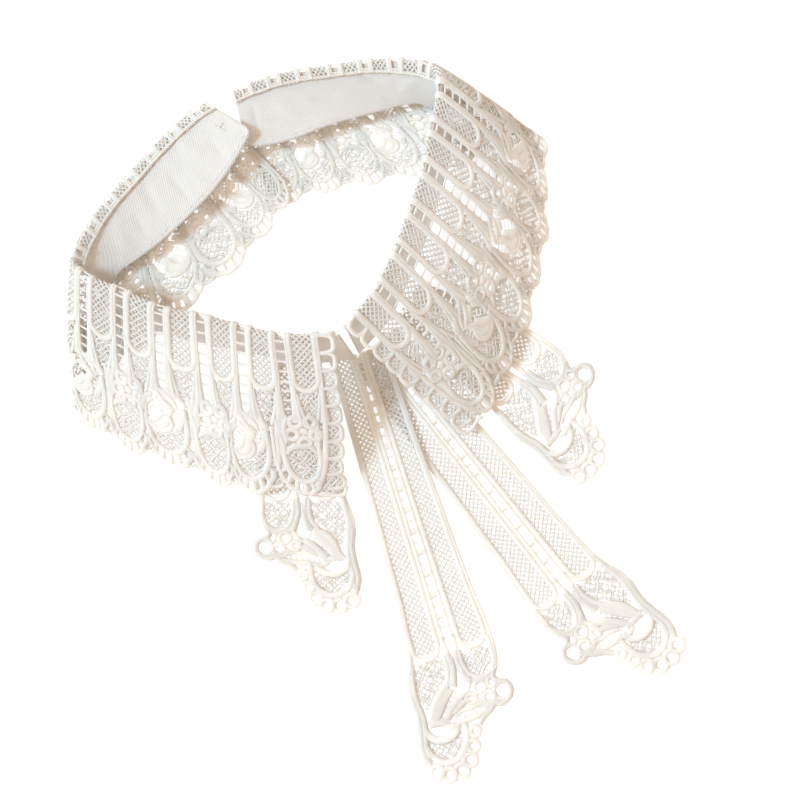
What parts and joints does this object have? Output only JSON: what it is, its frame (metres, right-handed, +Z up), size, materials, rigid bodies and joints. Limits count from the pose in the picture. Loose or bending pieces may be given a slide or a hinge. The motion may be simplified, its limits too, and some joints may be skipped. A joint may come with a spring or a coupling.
{
  "type": "false collar",
  "caption": "Corded lace false collar laid flat, with a turned-down scalloped fall, a twill neckband and lace tails that fan from the front.",
  "frame": {"origin": "middle of the whole collar's outline seen from above, on the surface that it lies on", "axes": "+X to the collar's right as it is seen from above, +Y from the tails towards the back of the neck, +Z up off the surface"},
  "size_m": [0.1953, 0.2599, 0.0275],
  "materials": {
    "lace_fall": "matt cream-white corded lace",
    "twill_stand": "soft off-white twill",
    "lace_tail": "matt cream-white corded lace"
  },
  "bodies": {
    "root": {"fall_left": "lace_fall", "fall_right": "lace_fall", "stand_left": "twill_stand", "stand_right": "twill_stand", "tail_long_left": "lace_tail", "tail_long_right": "lace_tail", "tail_short_left": "lace_tail", "tail_short_right": "lace_tail"}
  },
  "joints": []
}
